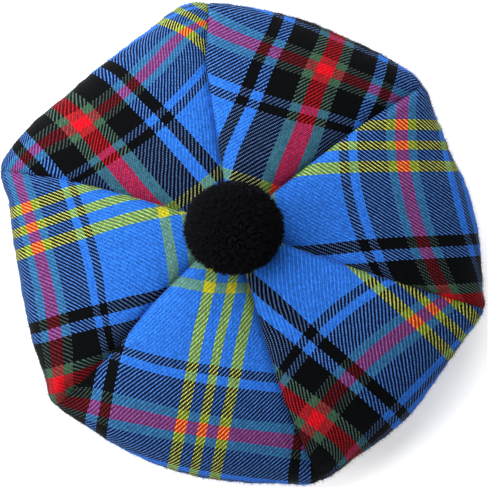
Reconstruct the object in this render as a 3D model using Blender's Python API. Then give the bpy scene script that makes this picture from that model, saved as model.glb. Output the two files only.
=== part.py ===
import math

import bmesh
import bpy
from mathutils import Vector

# Round six-gored wool cap with a pompom, lying flat as it would on a table.
# Sizes are metres, angles are degrees. Seen from above +X is right and +Y is up, +Z is the height.
# Angles run counter-clockwise from +X about the apex, the point where the six seams meet.

# Crown.
RIM_HEIGHT = 0.034
CROWN_RISE = 0.040
CROWN_FULLNESS = 2.5
UNDERSIDE_DROP = 0.016
UNDERSIDE_LIFT = 0.012
UNDERSIDE_PUFF = 0.003
PUFF_EDGE = 2.5
PUFF_START = 0.40
TIP_RADIUS = 0.0015
WALL = 0.0020
SEAM_GAP = 0.0003

# Headband.
BAND_OFFSET = Vector((0.0050, -0.0070))
BAND_INNER_X = 0.0920
BAND_INNER_Y = 0.0885
BAND_WALL = 0.0030
BAND_HEIGHT = 0.0325
BAND_GAP = 0.0006
BAND_EDGE = 0.0008
BAND_SEGMENTS = 60

# Pompom.
POMPOM_OFFSET = Vector((0.0010, -0.0012))
POMPOM_RADIUS_X = 0.0297
POMPOM_RADIUS_Y = 0.0277
POMPOM_RADIUS_Z = 0.0265
POMPOM_SINK = 0.0060
POMPOM_LOCK = 0.0038
POMPOM_LOCK_TAPER = 0.20
POMPOM_GAP = 0.0002
SEAT_REACH = 0.0030
POMPOM_DETAIL = 3

# Outline of the crown, a corner at each seam and a flatter side to each gore:
# angle, distance from the apex, height of the rim over the table.
RIM = (
    (0, 0.1418, 0.0335),
    (10, 0.1374, 0.0345),
    (20, 0.1331, 0.0350),
    (28, 0.1340, 0.0340),
    (37, 0.1380, 0.0325),
    (46, 0.1334, 0.0340),
    (61, 0.1270, 0.0360),
    (77, 0.1261, 0.0355),
    (95, 0.1300, 0.0330),
    (100, 0.1318, 0.0325),
    (115, 0.1224, 0.0350),
    (127, 0.1197, 0.0360),
    (140, 0.1215, 0.0355),
    (153, 0.1302, 0.0335),
    (160, 0.1354, 0.0325),
    (165, 0.1389, 0.0320),
    (175, 0.1293, 0.0335),
    (190, 0.1261, 0.0350),
    (218, 0.1385, 0.0330),
    (225, 0.1462, 0.0315),
    (235, 0.1433, 0.0325),
    (268, 0.1474, 0.0340),
    (280, 0.1514, 0.0330),
    (288, 0.1566, 0.0325),
    (300, 0.1514, 0.0335),
    (313, 0.1501, 0.0345),
    (325, 0.1476, 0.0345),
    (333, 0.1491, 0.0335),
    (342, 0.1541, 0.0322),
    (346, 0.1496, 0.0325),
)

# Seams: angle near the apex, at 0.35 and 0.7 of the way out, and at the rim.
SEAMS = (
    (-19.0, -19.0, -18.6, -18.2),
    (38.6, 38.6, 37.9, 36.6),
    (99.4, 99.4, 99.2, 96.3),
    (163.6, 163.6, 164.3, 166.2),
    (224.0, 224.0, 226.6, 225.9),
    (286.2, 286.2, 286.9, 288.8),
)
SEAM_STATIONS = (0.0, 0.35, 0.70, 1.0)

# Furrow along each seam, one row a station on the way out: share of the way from apex to rim,
# depth, and how far it spreads into the gore on its clockwise and counter-clockwise side.
FURROWS = (
    (
        (0.0, 0.0010, 0.0050, 0.0050),
        (0.4, 0.0020, 0.0060, 0.0045),
        (0.7, 0.0034, 0.0100, 0.0045),
        (0.9, 0.0046, 0.0150, 0.0050),
        (1.0, 0.0005, 0.0100, 0.0050),
    ),
    (
        (0.0, 0.0010, 0.0050, 0.0050),
        (0.4, 0.0018, 0.0045, 0.0060),
        (0.7, 0.0030, 0.0045, 0.0090),
        (0.9, 0.0036, 0.0050, 0.0110),
        (1.0, 0.0005, 0.0050, 0.0080),
    ),
    (
        (0.0, 0.0010, 0.0050, 0.0050),
        (0.4, 0.0018, 0.0050, 0.0060),
        (0.7, 0.0025, 0.0050, 0.0090),
        (0.9, 0.0040, 0.0055, 0.0130),
        (1.0, 0.0005, 0.0050, 0.0090),
    ),
    (
        (0.0, 0.0010, 0.0050, 0.0050),
        (0.4, 0.0022, 0.0065, 0.0042),
        (0.7, 0.0034, 0.0110, 0.0042),
        (0.9, 0.0040, 0.0140, 0.0045),
        (1.0, 0.0005, 0.0090, 0.0045),
    ),
    (
        (0.0, 0.0010, 0.0050, 0.0050),
        (0.4, 0.0022, 0.0065, 0.0045),
        (0.6, 0.0042, 0.0080, 0.0050),
        (0.8, 0.0070, 0.0065, 0.0110),
        (0.92, 0.0075, 0.0070, 0.0160),
        (1.0, 0.0006, 0.0060, 0.0120),
    ),
    (
        (0.0, 0.0010, 0.0050, 0.0050),
        (0.4, 0.0018, 0.0050, 0.0050),
        (0.7, 0.0028, 0.0055, 0.0080),
        (0.9, 0.0042, 0.0065, 0.0130),
        (1.0, 0.0005, 0.0060, 0.0090),
    ),
)

# Gores between one seam and the next: name, height of the puffed middle.
GORES = (
    ("gore_right", 0.0060),
    ("gore_top_right", 0.0075),
    ("gore_top_left", 0.0080),
    ("gore_left", 0.0078),
    ("gore_bottom", 0.0066),
    ("gore_lower_right", 0.0064),
)

# Where the gores are sampled: 0 is the apex, 1 the rim and 2 the headband; -1 to 1 is seam to seam.
ALONG = (
    0.0, 0.10, 0.20, 0.30, 0.40, 0.50, 0.60, 0.69, 0.77, 0.84, 0.90, 0.95,
    1.0, 1.06, 1.14, 1.26, 1.42, 1.60, 1.80, 2.0,
)
ACROSS = (-1.0, -0.93, -0.83, -0.66, -0.42, -0.14, 0.14, 0.42, 0.66, 0.83, 0.93, 1.0)

TARTAN_COLOR = (0.045, 0.150, 0.420, 1.0)
BLACK_COLOR = (0.012, 0.012, 0.014, 1.0)
CLOTH_ROUGHNESS = 0.92


def smooth_table(rows, column, x, period=None):
    """Value of a column at x, along a smooth curve that never overshoots its rows."""
    xs = [row[0] for row in rows]
    ys = [row[column] for row in rows]
    if period:
        x = x % period
        xs = [xs[-2] - period, xs[-1] - period] + xs + [xs[0] + period, xs[1] + period]
        ys = [ys[-2], ys[-1]] + ys + [ys[0], ys[1]]
    x = min(max(x, xs[0]), xs[-1])
    index = 0
    while index < len(xs) - 2 and x > xs[index + 1]:
        index += 1

    def slope(i):
        if i <= 0 or i >= len(xs) - 1:
            return 0.0
        before = xs[i] - xs[i - 1]
        after = xs[i + 1] - xs[i]
        left = (ys[i] - ys[i - 1]) / before
        right = (ys[i + 1] - ys[i]) / after
        if left * right <= 0.0:
            return 0.0
        weight_left = 2.0 * after + before
        weight_right = after + 2.0 * before
        return (weight_left + weight_right) / (weight_left / left + weight_right / right)

    width = xs[index + 1] - xs[index]
    t = (x - xs[index]) / width
    h00 = (1.0 + 2.0 * t) * (1.0 - t) ** 2
    h10 = t * (1.0 - t) ** 2
    h01 = t * t * (3.0 - 2.0 * t)
    h11 = t * t * (t - 1.0)
    ends = h00 * ys[index] + h01 * ys[index + 1]
    return ends + width * (h10 * slope(index) + h11 * slope(index + 1))


def smooth_step(low, high, x):
    t = min(max((x - low) / (high - low), 0.0), 1.0)
    return t * t * (3.0 - 2.0 * t)


def direction(angle):
    return Vector((math.cos(math.radians(angle)), math.sin(math.radians(angle))))


def share_out(s):
    """Share of the way out to the rim, 0 to 1 over the top and back to 0 over the underside."""
    return math.sin(s * math.pi / 2.0)


def seam_angle(seam, s):
    turns, index = divmod(seam, len(SEAMS))
    rows = list(zip(SEAM_STATIONS, SEAMS[index]))
    share = share_out(s) if s < 1.0 else 1.0
    return smooth_table(rows, 1, share) + 360.0 * turns


def furrow_depth(seam, s, distance, clockwise):
    """Depth of the furrow at a distance from the seam, inside one of its two gores."""
    rows = FURROWS[seam % len(SEAMS)]
    share = share_out(s)
    depth = smooth_table(rows, 1, share)
    spread = smooth_table(rows, 2 if clockwise else 3, share)
    if s > 1.0:
        under = smooth_step(1.0, 1.5, s)
        depth = rows[-1][1] * (1.0 - under) + 0.0008 * under * (2.0 - s) * 2.0
        spread = rows[-1][2 if clockwise else 3] * (1.0 - under) + 0.005 * under
    return depth * math.exp(-((distance / spread) ** 2))


def band_point(angle, wall):
    out = direction(angle)
    reach_x = BAND_INNER_X + wall
    reach_y = BAND_INNER_Y + wall
    length = 1.0 / math.sqrt((out.x / reach_x) ** 2 + (out.y / reach_y) ** 2)
    return BAND_OFFSET + out * length


def meridian(s, angle):
    """Plain crown line at an angle: its point in plan and its height."""
    share = share_out(s)
    edge = direction(angle) * smooth_table(RIM, 1, angle, 360.0)
    rim_height = smooth_table(RIM, 2, angle, 360.0)
    arch = math.sqrt(max(0.0, 1.0 - share ** CROWN_FULLNESS))
    if s <= 1.0:
        height = RIM_HEIGHT + (rim_height - RIM_HEIGHT) * share ** 2 + CROWN_RISE * arch
        return edge * share, height
    inner = band_point(angle, BAND_WALL + BAND_GAP)
    height = RIM_HEIGHT + (rim_height - RIM_HEIGHT) * share ** 2 - UNDERSIDE_DROP * arch
    height += UNDERSIDE_LIFT * (1.0 - share) ** 2
    return inner + (edge - inner) * share, height


def outward(s, angle):
    """Direction square to the plain crown, in the upright plane through its line."""
    step = 0.002
    before = max(s - step, 0.0)
    after = min(s + step, 2.0)
    plan_a, height_a = meridian(before, angle)
    plan_b, height_b = meridian(after, angle)
    edge = direction(angle) * smooth_table(RIM, 1, angle, 360.0)
    away = edge.normalized()
    under = (edge - band_point(angle, BAND_WALL + BAND_GAP)).normalized()
    flat = away.lerp(under, smooth_step(0.8, 1.2, s)).normalized()
    run = (plan_b - plan_a).dot(flat)
    fall = height_b - height_a
    size = math.hypot(run, fall)
    return Vector((flat.x * -fall / size, flat.y * -fall / size, run / size))


def crown_point(gore, s, w, inset, inward):
    """Point of a gore: s from apex to headband, w from seam to seam, inward through the cloth."""
    share = share_out(s)
    first = seam_angle(gore, s)
    last = seam_angle(gore + 1, s)
    middle = (first + last) / 2.0
    reach = smooth_table(RIM, 1, middle, 360.0) * share
    if s > 1.0:
        reach += (1.0 - share) * (BAND_INNER_X + BAND_WALL)
    reach = max(reach, TIP_RADIUS)
    trim = math.degrees(inset / reach)
    angle = (first + trim) + (last - first - 2.0 * trim) * (w + 1.0) / 2.0
    plan, height = meridian(s, angle)
    if s < 0.5 and plan.length < TIP_RADIUS:
        plan = direction(angle) * TIP_RADIUS
    from_first = math.radians(angle - first) * reach
    from_last = math.radians(last - angle) * reach
    furrow = furrow_depth(gore, s, from_first, False) + furrow_depth(gore + 1, s, from_last, True)
    if s <= 1.0:
        swell = GORES[gore][1] * smooth_step(0.0, PUFF_START, share) * math.cos(s * math.pi / 2.0) ** 0.8
    else:
        swell = UNDERSIDE_PUFF * math.sin((s - 1.0) * math.pi)
    swell *= 1.0 - abs(w) ** PUFF_EDGE
    return Vector((plan.x, plan.y, height)) + outward(s, angle) * (swell - furrow - inward)


def crown_height(x, y):
    """Height of the crown's top over a point near the apex."""
    angle = math.degrees(math.atan2(y, x)) % 360.0
    reach = smooth_table(RIM, 1, angle, 360.0)
    s = math.asin(min(math.hypot(x, y) / reach, 1.0)) * 2.0 / math.pi
    for gore in range(len(GORES)):
        first = seam_angle(gore, s)
        last = seam_angle(gore + 1, s)
        turned = (angle - first) % 360.0
        if turned <= last - first:
            return crown_point(gore, s, 2.0 * turned / (last - first) - 1.0, 0.0, 0.0).z
    return RIM_HEIGHT + CROWN_RISE


def seat_height(x, y):
    """Highest point of the crown's top within reach of one lock of the pompom."""
    heights = [crown_height(x, y)]
    for turn in range(0, 360, 45):
        way = direction(turn) * SEAT_REACH
        heights.append(crown_height(x + way.x, y + way.y))
    return max(heights)


def grid_shell(outer, inner):
    """Closed body between two grids of points with the same rows and columns."""
    mesh = bmesh.new()
    rows = len(outer)
    columns = len(outer[0])
    outside = [[mesh.verts.new(point) for point in row] for row in outer]
    inside = [[mesh.verts.new(point) for point in row] for row in inner]
    for i in range(rows - 1):
        for j in range(columns - 1):
            mesh.faces.new((outside[i][j], outside[i + 1][j], outside[i + 1][j + 1], outside[i][j + 1]))
            mesh.faces.new((inside[i][j], inside[i][j + 1], inside[i + 1][j + 1], inside[i + 1][j]))
    loop = [(0, j) for j in range(columns)]
    loop += [(i, columns - 1) for i in range(1, rows)]
    loop += [(rows - 1, j) for j in range(columns - 2, -1, -1)]
    loop += [(i, 0) for i in range(rows - 2, 0, -1)]
    for (i, j), (k, m) in zip(loop, loop[1:] + loop[:1]):
        mesh.faces.new((outside[i][j], outside[k][m], inside[k][m], inside[i][j]))
    return mesh


def make_gore(gore):
    outer = []
    inner = []
    for s in ALONG:
        outer.append([crown_point(gore, s, w, SEAM_GAP / 2.0, 0.0) for w in ACROSS])
        inner.append([crown_point(gore, s, w, SEAM_GAP / 2.0, WALL) for w in ACROSS])
    return grid_shell(outer, inner)


def make_headband():
    """Upright oval ring with a flat lower edge and a softened upper edge."""
    section = (
        (BAND_WALL, 0.0),
        (BAND_WALL, BAND_HEIGHT - BAND_EDGE),
        (BAND_WALL - BAND_EDGE, BAND_HEIGHT),
        (BAND_EDGE, BAND_HEIGHT),
        (0.0, BAND_HEIGHT - BAND_EDGE),
        (0.0, 0.0),
    )
    mesh = bmesh.new()
    rings = []
    for step in range(BAND_SEGMENTS):
        angle = 360.0 * step / BAND_SEGMENTS
        ring = []
        for wall, height in section:
            plan = band_point(angle, wall)
            ring.append(mesh.verts.new((plan.x, plan.y, height)))
        rings.append(ring)
    count = len(section)
    for step in range(BAND_SEGMENTS):
        here = rings[step]
        following = rings[(step + 1) % BAND_SEGMENTS]
        for i in range(count):
            j = (i + 1) % count
            mesh.faces.new((here[i], following[i], following[j], here[j]))
    return mesh


def make_pompom():
    """Ball of blunt locks of wool, one on each facet of the core, with its base on the crown."""
    mesh = bmesh.new()
    bmesh.ops.create_icosphere(mesh, subdivisions=POMPOM_DETAIL, radius=1.0)
    locks = mesh.faces[:]
    bmesh.ops.inset_individual(mesh, faces=locks, thickness=0.0001, use_even_offset=False)
    core = 1.0 - POMPOM_LOCK / POMPOM_RADIUS_X
    for vert in mesh.verts:
        vert.co = vert.co.normalized() * core
    for number, face in enumerate(locks):
        length = 1.0 - (1.0 - core) * 0.45 * (0.5 + 0.5 * math.sin(number * 2.399963))
        middle = face.calc_center_median().normalized()
        for vert in face.verts:
            way = vert.co.normalized().lerp(middle, POMPOM_LOCK_TAPER).normalized()
            vert.co = way * length
    top = crown_height(POMPOM_OFFSET.x, POMPOM_OFFSET.y)
    middle_height = top + POMPOM_RADIUS_Z - POMPOM_SINK
    for vert in mesh.verts:
        x = POMPOM_OFFSET.x + vert.co.x * POMPOM_RADIUS_X
        y = POMPOM_OFFSET.y + vert.co.y * POMPOM_RADIUS_Y
        z = middle_height + vert.co.z * POMPOM_RADIUS_Z
        if vert.co.z < 0.0:
            z = max(z, seat_height(x, y) + POMPOM_GAP)
        vert.co = Vector((x, y, z))
    return mesh


def add_part(name, mesh, color):
    bmesh.ops.recalc_face_normals(mesh, faces=mesh.faces[:])
    data = bpy.data.meshes.new(name)
    mesh.to_mesh(data)
    mesh.free()
    for polygon in data.polygons:
        polygon.use_smooth = True
    material = bpy.data.materials.new(name)
    material.use_nodes = True
    shader = material.node_tree.nodes["Principled BSDF"]
    shader.inputs["Base Color"].default_value = color
    shader.inputs["Roughness"].default_value = CLOTH_ROUGHNESS
    data.materials.append(material)
    part = bpy.data.objects.new(name, data)
    bpy.context.scene.collection.objects.link(part)
    return part


def centre_on_outline(parts):
    """Move the parts so that the middle of the outline in plan is over the origin."""
    points = [vert.co for part in parts for vert in part.data.vertices]
    middle_x = (min(p.x for p in points) + max(p.x for p in points)) / 2.0
    middle_y = (min(p.y for p in points) + max(p.y for p in points)) / 2.0
    for part in parts:
        for vert in part.data.vertices:
            vert.co.x -= middle_x
            vert.co.y -= middle_y


def main():
    for existing in list(bpy.data.objects):
        bpy.data.objects.remove(existing, do_unlink=True)
    parts = []
    for gore, (name, _) in enumerate(GORES):
        parts.append(add_part(name, make_gore(gore), TARTAN_COLOR))
    parts.append(add_part("headband", make_headband(), BLACK_COLOR))
    parts.append(add_part("pompom", make_pompom(), BLACK_COLOR))
    centre_on_outline(parts)


main()
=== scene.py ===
import math

import bmesh
import bpy
import numpy as np
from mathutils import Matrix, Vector


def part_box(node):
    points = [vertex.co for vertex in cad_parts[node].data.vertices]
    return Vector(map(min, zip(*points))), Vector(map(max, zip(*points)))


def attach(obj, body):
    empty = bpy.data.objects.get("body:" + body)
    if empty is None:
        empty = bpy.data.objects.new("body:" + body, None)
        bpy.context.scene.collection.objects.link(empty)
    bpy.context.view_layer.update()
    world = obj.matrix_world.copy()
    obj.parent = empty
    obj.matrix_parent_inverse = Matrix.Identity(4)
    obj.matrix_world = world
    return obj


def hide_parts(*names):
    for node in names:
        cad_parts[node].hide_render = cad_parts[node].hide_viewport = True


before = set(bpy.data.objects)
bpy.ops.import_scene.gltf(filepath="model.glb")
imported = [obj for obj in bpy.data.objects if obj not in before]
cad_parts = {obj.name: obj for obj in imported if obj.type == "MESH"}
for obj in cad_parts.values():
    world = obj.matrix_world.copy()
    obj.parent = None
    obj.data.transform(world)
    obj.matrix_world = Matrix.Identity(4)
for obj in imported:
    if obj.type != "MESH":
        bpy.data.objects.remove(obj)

bl_info = {
    "name": "Tam o' shanter",
    "version": (1, 0, 0),
    "blender": (4, 5, 0),
    "location": "3D View > Sidebar > Cap",
    "description": "Six-gored tartan cap with a headband and a wool pompom",
    "category": "Object",
}

# Sizes are metres. Angles are degrees counter-clockwise from +X, seen from above, about the apex: the
# point in plan where the six seams meet. A place on a gore is s, from 0 at the apex over 1 at the rim
# to 2 at the headband, and w, from -1 at its first seam to 1 at its last.

# -------- the crown's form

RIM_HEIGHT = 0.034
CROWN_RISE = 0.0405
CROWN_FULLNESS = 2.75
UNDERSIDE_DROP = 0.016
UNDERSIDE_LIFT = 0.012
UNDERSIDE_PUFF = 0.003
PUFF_EDGE = 3.4
PUFF_START = 0.40
PUFF_SHAPE = 0.8
TIP_RADIUS = 0.0015
UNDER_FURROW_DEPTH = 0.0008
UNDER_FURROW_SPREAD = 0.005
UNDER_FURROW_FULL = 1.5
RIM_TURN = (0.8, 1.2)
SLOPE_STEP = 0.002

# How much mesh rows crowd to the rim and columns to the seams, and a height that only the top reaches.
ROW_CROWDING = 0.25
COLUMN_CROWDING = 0.5
TOP_LEVEL = 0.05

BAND_OFFSET = Vector((0.0050, -0.0070))
BAND_INNER_X = 0.0920
BAND_INNER_Y = 0.0885
BAND_WALL = 0.0030
BAND_HEIGHT = 0.0325
BAND_GAP = 0.0006

POMPOM_OFFSET = Vector((0.0010, -0.0012))
POMPOM_RADII = (0.0297, 0.0277, 0.0265)
POMPOM_SINK = 0.0060
POMPOM_GAP = 0.0006

# Outline: angle, distance from the apex, height of the rim over the table.
RIM = (
    (0, 0.1418, 0.0335),
    (10, 0.1374, 0.0345),
    (20, 0.1331, 0.0350),
    (28, 0.1340, 0.0340),
    (37, 0.1380, 0.0325),
    (46, 0.1334, 0.0340),
    (61, 0.1270, 0.0360),
    (77, 0.1261, 0.0355),
    (95, 0.1300, 0.0330),
    (100, 0.1318, 0.0325),
    (115, 0.1224, 0.0350),
    (127, 0.1197, 0.0360),
    (140, 0.1215, 0.0355),
    (153, 0.1302, 0.0335),
    (160, 0.1354, 0.0325),
    (165, 0.1389, 0.0320),
    (175, 0.1293, 0.0335),
    (190, 0.1261, 0.0350),
    (218, 0.1385, 0.0330),
    (225, 0.1462, 0.0315),
    (235, 0.1433, 0.0325),
    (268, 0.1474, 0.0340),
    (280, 0.1514, 0.0330),
    (288, 0.1566, 0.0325),
    (300, 0.1514, 0.0335),
    (313, 0.1501, 0.0345),
    (325, 0.1476, 0.0345),
    (333, 0.1491, 0.0335),
    (342, 0.1541, 0.0322),
    (346, 0.1496, 0.0325),
)

# Seams: angle near the apex, at 0.35 and 0.7 of the way out, and at the rim.
SEAMS = (
    (-19.0, -19.0, -18.6, -18.2),
    (38.6, 38.6, 37.9, 36.6),
    (99.4, 99.4, 99.2, 96.3),
    (163.6, 163.6, 164.3, 166.2),
    (224.0, 224.0, 226.6, 225.9),
    (286.2, 286.2, 286.9, 288.8),
)
SEAM_STATIONS = (0.0, 0.35, 0.70, 1.0)

# Furrow along each seam, one row a station on the way out: share of the way from apex to rim,
# depth, and how far it spreads into the gore on its clockwise and counter-clockwise side.
FURROWS = (
    (
        (0.0, 0.0008, 0.0030, 0.0030),
        (0.4, 0.0010, 0.0032, 0.0026),
        (0.7, 0.0024, 0.0066, 0.0026),
        (0.9, 0.0042, 0.0130, 0.0034),
        (1.0, 0.0005, 0.0100, 0.0040),
    ),
    (
        (0.0, 0.0006, 0.0030, 0.0030),
        (0.4, 0.0004, 0.0026, 0.0028),
        (0.7, 0.0007, 0.0026, 0.0032),
        (0.9, 0.0022, 0.0032, 0.0056),
        (1.0, 0.0005, 0.0040, 0.0060),
    ),
    (
        (0.0, 0.0008, 0.0030, 0.0030),
        (0.4, 0.0003, 0.0026, 0.0026),
        (0.7, 0.0005, 0.0026, 0.0028),
        (0.9, 0.0018, 0.0032, 0.0060),
        (1.0, 0.0005, 0.0040, 0.0070),
    ),
    (
        (0.0, 0.0008, 0.0030, 0.0030),
        (0.4, 0.0012, 0.0036, 0.0026),
        (0.7, 0.0022, 0.0070, 0.0026),
        (0.9, 0.0032, 0.0110, 0.0032),
        (1.0, 0.0005, 0.0070, 0.0036),
    ),
    (
        (0.0, 0.0008, 0.0030, 0.0030),
        (0.4, 0.0008, 0.0028, 0.0026),
        (0.6, 0.0016, 0.0030, 0.0028),
        (0.8, 0.0052, 0.0040, 0.0088),
        (0.92, 0.0070, 0.0060, 0.0140),
        (1.0, 0.0006, 0.0050, 0.0110),
    ),
    (
        (0.0, 0.0008, 0.0030, 0.0030),
        (0.4, 0.0008, 0.0028, 0.0026),
        (0.7, 0.0013, 0.0040, 0.0028),
        (0.9, 0.0028, 0.0070, 0.0048),
        (1.0, 0.0005, 0.0060, 0.0050),
    ),
)

# Gores between one seam and the next: name, height of the puffed middle, turn of the cloth, and how
# far the tartan's red pivot lies out from the apex and across from the middle.
GORES = (
    ("gore_right", 0.0038, 3.6, 0.1068, -0.0572),
    ("gore_top_right", 0.0046, -2.1, 0.1073, -0.0187),
    ("gore_top_left", 0.0048, -0.4, 0.1082, 0.0250),
    ("gore_left", 0.0048, 2.0, 0.1189, 0.0660),
    ("gore_bottom", 0.0042, -4.2, 0.1210, -0.0910),
    ("gore_lower_right", 0.0040, -5.0, 0.1154, -0.0527),
)

# -------- cloth and yarn

# Drift of the stripes where the cloth was eased into each gore, one row a distance from the apex: the
# distance; outward drift all over, leaning to one side, bowed; sideways all over, spread, bowed.
EASE = (
    (
        (0.040, 0.0010, 0.0025, 0.0030, -0.0020, -0.0030, 0.0),
        (0.075, 0.0005, 0.0070, -0.0090, -0.0015, -0.0010, 0.0),
        (0.110, 0.0020, 0.0055, -0.0080, 0.0005, 0.0010, 0.0),
        (0.145, 0.0015, 0.0045, -0.0080, 0.0015, 0.0015, 0.0),
    ),
    (
        (0.040, -0.0025, 0.0, 0.0100, -0.0010, -0.0055, 0.0),
        (0.075, -0.0005, 0.0030, -0.0040, 0.0010, -0.0025, 0.0),
        (0.110, 0.0025, 0.0005, -0.0025, 0.0005, 0.0, 0.0),
        (0.145, 0.0075, -0.0035, -0.0065, -0.0015, 0.0010, 0.0),
    ),
    (
        (0.040, -0.0025, -0.0040, -0.0015, 0.0005, -0.0060, 0.0),
        (0.075, -0.0005, -0.0045, -0.0105, 0.0010, -0.0035, 0.0),
        (0.110, 0.0075, -0.0025, -0.0105, 0.0, 0.0005, 0.0),
        (0.145, 0.0020, -0.0100, 0.0045, -0.0055, 0.0035, 0.0),
    ),
    (
        (0.040, -0.0005, -0.0020, 0.0, -0.0005, -0.0035, 0.0),
        (0.075, 0.0, -0.0020, -0.0105, 0.0, -0.0010, 0.0),
        (0.110, 0.0035, 0.0, -0.0035, -0.0005, 0.0010, 0.0),
        (0.145, 0.0005, -0.0030, -0.0030, -0.0020, 0.0020, 0.0),
    ),
    (
        (0.040, 0.0025, 0.0055, 0.0135, -0.0025, 0.0005, 0.0),
        (0.075, 0.0, 0.0015, 0.0015, -0.0005, 0.0010, -0.0005),
        (0.110, 0.0005, -0.0015, 0.0030, 0.0020, 0.0010, 0.0010),
        (0.145, -0.0010, 0.0, -0.0005, 0.0045, 0.0010, 0.0005),
        (0.165, 0.0, -0.0010, -0.0010, 0.0060, 0.0005, -0.0005),
    ),
    (
        (0.040, 0.0090, -0.0040, 0.0020, -0.0025, -0.0120, -0.0005),
        (0.075, 0.0035, -0.0035, -0.0095, 0.0, -0.0025, 0.0025),
        (0.110, 0.0050, -0.0055, -0.0065, 0.0010, 0.0, 0.0005),
        (0.145, 0.0005, -0.0050, -0.0035, 0.0045, 0.0020, -0.0010),
        (0.165, 0.0, -0.0045, -0.0040, 0.0065, 0.0010, 0.0),
    ),
)
EASE_WIDTH = 0.050

# Twill: pitches, threads to a repeat, threads on which the first floats have their middles, and how
# round, wavering and long a float is, in threads. Noise scales are in cells to the metre.
WARP_PITCH = 0.00061
WEFT_PITCH = 0.00080
TWILL_REPEAT = 4.0
WARP_MIDDLE = 3.0
WEFT_MIDDLE = 1.0
FLOAT_ROUND = 0.9
FLOAT_WAVER = 0.8
FLOAT_REACH = 1.16
WEFT_RELIEF = 0.60
# Light left on the weft floats, which lie lower: painted shade.
WEFT_PAINTED_SHADE = 0.63
WAVER_SCALE = 160.0
GRAIN_SCALE = 1100.0
FIBRE_SCALE = 4200.0
THREAD_BUMP = 0.00016
FIBRE_BUMP = 0.25

# How threads blend: what warp and weft take on from the thread they cross as painted bounce light, and the
# most of it;
# the even blend's part, the weft's part in it, and the contrast that stays, less where both are light.
WARP_TAKES = 0.98
WEFT_TAKES = 1.40
MOST_TAKEN = 0.95
BLEND_SHARE = 0.78
WEFT_SHARE = 0.38
CONTRAST = 0.24
CONTRAST_FADE = 2.0

# Light in the gaps between threads, how steeply it falls there, and spreads in shade.
GAP_LIGHT = 0.015
GAP_SHAPE = 1.65
SHADE_SPREAD = 0.52
FIBRE_SPREAD = 0.50
GRAIN_SPREAD = 0.36

CLOTH_LAYER = "cloth"
CLOTH_THICKNESS = 0.0013
PLY_GAP = 0.0004
TUCK_DEPTH = 0.0010
TUCK_WIDTH = 0.0012
TUCK_RIM_FADE = 0.8
TUCK_RIM_WIDTH = 0.10
EDGE_INSET = 0.00001
WELD_DISTANCE = 1e-6

# Small forms of the sewn cloth, and the stretches of s over which they come and go.
DETAIL_START = (0.05, 0.20)
DETAIL_END = (1.85, 2.0)
SEAM_LENGTH = 0.150
PUCKER_HEIGHT = 0.00025
PUCKER_LENGTH = 0.0100
PUCKER_START = 0.0015
PUCKER_REACH = 0.0060
PUCKER_SHIFT = 1.7
PUCKER_WANDER = 2.0
PUCKER_WANDER_RATE = 90.0
RIPPLE_HEIGHT = 0.00030
RIPPLE_LENGTH = 0.0120
RIPPLE_REACH = 0.25
RIPPLE_MARGIN = 0.006
RIPPLE_SHIFT = 2.3
RIPPLE_WANDER = 1.3
RIPPLE_WANDER_RATE = 0.37
RIPPLE_BEAT_SHIFT = 1.1
RIPPLE_BEAT_RATE = 0.21

# Fibres along the rim: spread in mesh rows, sizes, and how far each leans off the cloth's normal.
NAP_SEED = 40
NAP_SPREAD = 10.0
NAP_LENGTH = 0.0013
NAP_LENGTH_SHAPE = 2.5
NAP_RADIUS = 0.000034
NAP_SCATTER = 0.55
NAP_BEND = 0.0005
NAP_SIDES = 3

# Half of the tartan's sett, from its red pivot to its yellow pivot: colour, width of the stripe in
# the warp, and its width in the weft, which is beaten up a little unevenly.
SETT = (
    ("red", 0.0046, 0.0034),
    ("green", 0.0058, 0.0057),
    ("black", 0.0161, 0.0187),
    ("blue", 0.0068, 0.0056),
    ("black", 0.0064, 0.0055),
    ("blue", 0.0386, 0.0396),
    ("yellow", 0.0071, 0.0063),
    ("blue", 0.0067, 0.0064),
    ("yellow", 0.0028, 0.0037),
)
WARP_WIDTH, WEFT_WIDTH = 1, 2
# Dyes as they look to the eye, in even steps from 0 to 1, and how strongly each takes over a blend.
DYES = {
    "red": (0.930, 0.105, 0.160, 1.00),
    "green": (0.268, 0.397, 0.308, 0.63),
    "black": (0.032, 0.045, 0.062, 0.63),
    "blue": (0.210, 0.492, 0.945, 0.63),
    "yellow": (0.835, 0.810, 0.190, 0.63),
}
EYE_GAMMA = 2.2
EYE_WEIGHTS = (0.299, 0.587, 0.114)

HEADBAND_THREAD = 0.0006
HEADBAND_FIBRE = 0.6
HEADBAND_DARK = (0.006, 0.006, 0.008)
HEADBAND_LIGHT = (0.016, 0.016, 0.019)
HEADBAND_BUMP = 0.00012

# Pompom yarn: colours, deep yarn's light and where it ends, sizes of its noise, spread between locks.
YARN_DARK = (0.0012, 0.0014, 0.0026)
YARN_LIGHT = (0.0054, 0.0062, 0.0108)
DEEP_LIGHT = 0.10
DEEP_SHARE = 0.84
YARN_SCALE = 900.0
LOCK_SCALE = 170.0
LOCK_SPREAD = 1.20
YARN_BUMP = 0.0003

# Yarn ends and stray fibres: roots and reach are shares of the pompom's radius; jitter and scatter
# are of a direction, at the root and at the tip; gather is how far an end leans to its tuft.
POMPOM_SEED = 17
HEART_SHARE = 0.86
HEART_SUBDIVISIONS = 5
TUFT_JITTER = 0.05
TUFT_REACH = (0.950, 1.005)
YARN_ROOT = 0.78
YARN_JITTER = 0.02
YARN_GATHER = (0.45, 0.92)
YARN_SCATTER = 0.012
YARN_TIP = (-0.030, 0.012)
YARN_RADIUS = (0.00026, 0.00046)
YARN_BEND = 0.0012
YARN_SIDES = 4
FIBRE_ROOT = 0.90
FIBRE_JITTER = 0.03
FIBRE_SCATTER = 0.08
FIBRE_REACH = (0.97, 1.035)
FIBRE_RADIUS = 0.00006
FIBRE_BEND = 0.0015
FIBRE_SIDES = 3

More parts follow.
